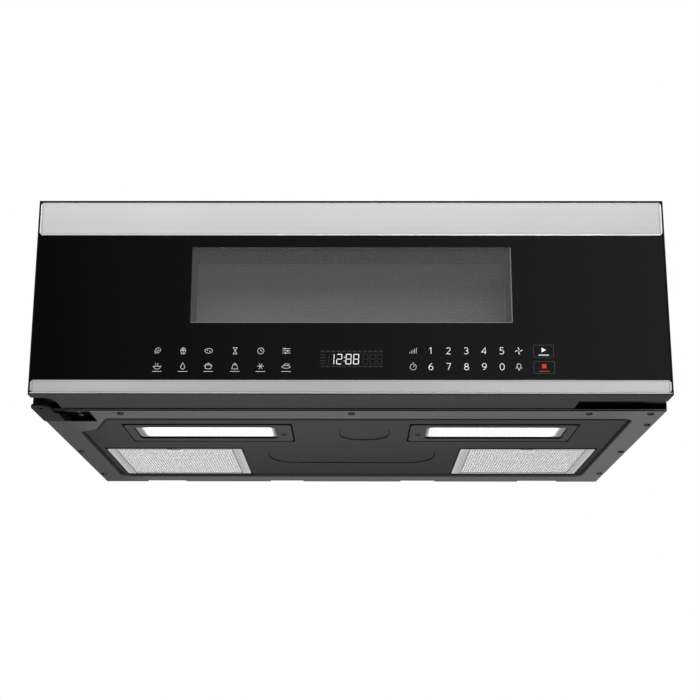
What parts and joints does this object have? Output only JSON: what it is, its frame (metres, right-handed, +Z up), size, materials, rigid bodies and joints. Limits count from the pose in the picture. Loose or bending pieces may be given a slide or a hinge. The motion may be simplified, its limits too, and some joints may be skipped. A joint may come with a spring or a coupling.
{
  "type": "over the range microwave",
  "caption": "Over the range microwave oven with a side-hinged glass door, touch controls, exhaust blower, grease filters and cooktop lights",
  "frame": {"origin": "under the middle of the body, level with the lowest hinge plate", "axes": "+X to the viewer's right along the width, -Y out of the door, +Z up"},
  "size_m": [0.7596, 0.46, 0.289],
  "materials": {
    "pan_paint": "dark grey textured powder coat",
    "cabinet_paint": "black powder coat, satin",
    "galvanised": "plain zinc-coated sheet, dull",
    "cavity_enamel": "pale grey baked enamel",
    "brushed_steel": "horizontal brushed grain",
    "hinge_steel": "black satin",
    "pin_steel": "ground steel",
    "screw_steel": "dark zinc",
    "black_glass": "black back-printed toughened glass, mirror gloss",
    "door_plastic": "fine moulded grain",
    "screen_metal": "perforated sheet, satin",
    "choke_plastic": "satin",
    "board_green": "lacquered laminate",
    "display_black": "smoked face with lit digits",
    "white_plastic": "satin moulding",
    "grey_plastic": "satin moulding",
    "spring_steel": "spring wire",
    "filter_aluminium": "plain rolled aluminium",
    "filter_mesh": "expanded mesh, bright",
    "lens_plastic": "frosted clear",
    "charcoal": "granules behind a black mesh",
    "mica": "mica sheet, silky",
    "magnet_black": "ferrite and aluminium fins",
    "core_steel": "varnished laminations with copper coils",
    "capacitor_can": "drawn aluminium can",
    "motor_steel": "plated steel shell",
    "tray_glass": "clear moulded glass",
    "lamp_glass": "clear bulb in a white socket",
    "black_rubber": "soft, matt"
  },
  "bodies": {
    "cabinet": {"back_panel": "galvanised", "base_pan": "pan_paint", "blower_housings": "galvanised", "blower_motor": "motor_steel", "cabinet_screws": "screw_steel", "cabinet_wrap": "cabinet_paint", "capacitor": "capacitor_can", "cavity_lamp": "lamp_glass", "cavity_liner": "cavity_enamel", "charcoal_filter": "charcoal", "chassis_plate": "galvanised", "cord_gland": "black_rubber", "exhaust_adapter": "galvanised", "fan_motor": "motor_steel", "fan_shroud": "grey_plastic", "front_frame": "cabinet_paint", "hinge_pins": "pin_steel", "interlock_unit": "white_plastic", "led_boards": "galvanised", "lower_hinge_plate": "hinge_steel", "magnetron_core": "magnet_black", "magnetron_yoke": "galvanised", "mounting_nuts": "screw_steel", "noise_filter_board": "board_green", "transformer": "core_steel", "turntable_motor": "motor_steel", "upper_hinge_plate": "hinge_steel", "vent_grille": "choke_plastic", "waveguide": "galvanised", "waveguide_cover": "mica"},
    "door": {"door_frame": "door_plastic", "door_glass": "black_glass", "top_strip": "brushed_steel", "bottom_strip": "brushed_steel", "window_screen": "screen_metal", "door_inner_panel": "cabinet_paint", "choke_cover": "choke_plastic", "control_board": "board_green", "display_module": "display_black"},
    "latch": {"latch_bar": "white_plastic", "latch_spring": "spring_steel"},
    "turntable": {"turntable_coupler": "white_plastic"},
    "tray": {"glass_tray": "tray_glass"},
    "ring": {"roller_ring": "white_plastic"},
    "roller_one": {"roller_1": "white_plastic"},
    "roller_two": {"roller_2": "white_plastic"},
    "roller_three": {"roller_3": "white_plastic"},
    "blower_rotor": {"blower_shaft": "pin_steel", "blower_wheel_left": "grey_plastic", "blower_wheel_right": "grey_plastic"},
    "cooling_fan": {"fan_blade": "grey_plastic"},
    "damper": {"damper_flap": "galvanised"},
    "filter_left": {"filter_frame_left": "filter_aluminium", "filter_mesh_left": "filter_mesh"},
    "filter_right": {"filter_frame_right": "filter_aluminium", "filter_mesh_right": "filter_mesh"},
    "light_left": {"light_cover_left": "pan_paint", "light_lens_left": "lens_plastic"},
    "light_right": {"light_cover_right": "pan_paint", "light_lens_right": "lens_plastic"}
  },
  "joints": [
    {"name": "door_hinge", "type": "hinge", "parent": "cabinet", "child": "door", "pos_m": [-0.367, -0.19, 0.1255], "axis": [0, 0, -1], "range_deg": [0, 105]},
    {"name": "latch_slide", "type": "slide", "parent": "door", "child": "latch", "axis": [0, 0, 1], "range_m": [0, 0.003], "stiffness_N_per_m": 400, "deforming": ["latch_spring"]},
    {"name": "turntable_spin", "type": "hinge", "parent": "cabinet", "child": "turntable", "pos_m": [0, -0.0175, 0.06], "axis": [0, 0, 1], "continuous": true},
    {"name": "tray_lift", "type": "slide", "parent": "turntable", "child": "tray", "axis": [0, 0, 1], "range_m": [0, 0.06]},
    {"name": "roller_ring_spin", "type": "hinge", "parent": "cabinet", "child": "ring", "pos_m": [0, -0.0175, 0.0653], "axis": [0, 0, 1], "continuous": true},
    {"name": "roller_one_spin", "type": "hinge", "parent": "ring", "child": "roller_one", "pos_m": [0, 0.0775, 0.0653], "axis": [0, 1, 0], "continuous": true},
    {"name": "roller_two_spin", "type": "hinge", "parent": "ring", "child": "roller_two", "pos_m": [-0.08227, -0.065, 0.0653], "axis": [-0.866, -0.5, 0], "continuous": true},
    {"name": "roller_three_spin", "type": "hinge", "parent": "ring", "child": "roller_three", "pos_m": [0.08227, -0.065, 0.0653], "axis": [0.866, -0.5, 0], "continuous": true},
    {"name": "blower_spin", "type": "hinge", "parent": "cabinet", "child": "blower_rotor", "pos_m": [0, 0.1824, 0.203], "axis": [1, 0, 0], "continuous": true},
    {"name": "cooling_fan_spin", "type": "hinge", "parent": "cabinet", "child": "cooling_fan", "pos_m": [0.32448, 0.1193, 0.111], "axis": [0, -1, 0], "continuous": true},
    {"name": "damper_swing", "type": "hinge", "parent": "cabinet", "child": "damper", "pos_m": [0, 0.2214, 0.2728], "axis": [-1, 0, 0], "range_deg": [0, 70]},
    {"name": "filter_left_drop", "type": "hinge", "parent": "cabinet", "child": "filter_left", "pos_m": [-0.245, 0.192, 0.0083], "axis": [1, 0, 0], "range_deg": [0, 60]},
    {"name": "filter_right_drop", "type": "hinge", "parent": "cabinet", "child": "filter_right", "pos_m": [0.245, 0.192, 0.0083], "axis": [1, 0, 0], "range_deg": [0, 60]},
    {"name": "light_left_drop", "type": "hinge", "parent": "cabinet", "child": "light_left", "pos_m": [-0.291, -0.048, 0.0083], "axis": [0, 1, 0], "range_deg": [0, 60]},
    {"name": "light_right_drop", "type": "hinge", "parent": "cabinet", "child": "light_right", "pos_m": [0.291, -0.048, 0.0083], "axis": [0, -1, 0], "range_deg": [0, 60]}
  ],
  "couplings": [
    {"joint": "roller_ring_spin", "follows": "turntable_spin", "ratio": 0.5},
    {"joint": "roller_one_spin", "follows": "turntable_spin", "ratio": -6.7857},
    {"joint": "roller_two_spin", "follows": "turntable_spin", "ratio": -6.7857},
    {"joint": "roller_three_spin", "follows": "turntable_spin", "ratio": -6.7857}
  ]
}
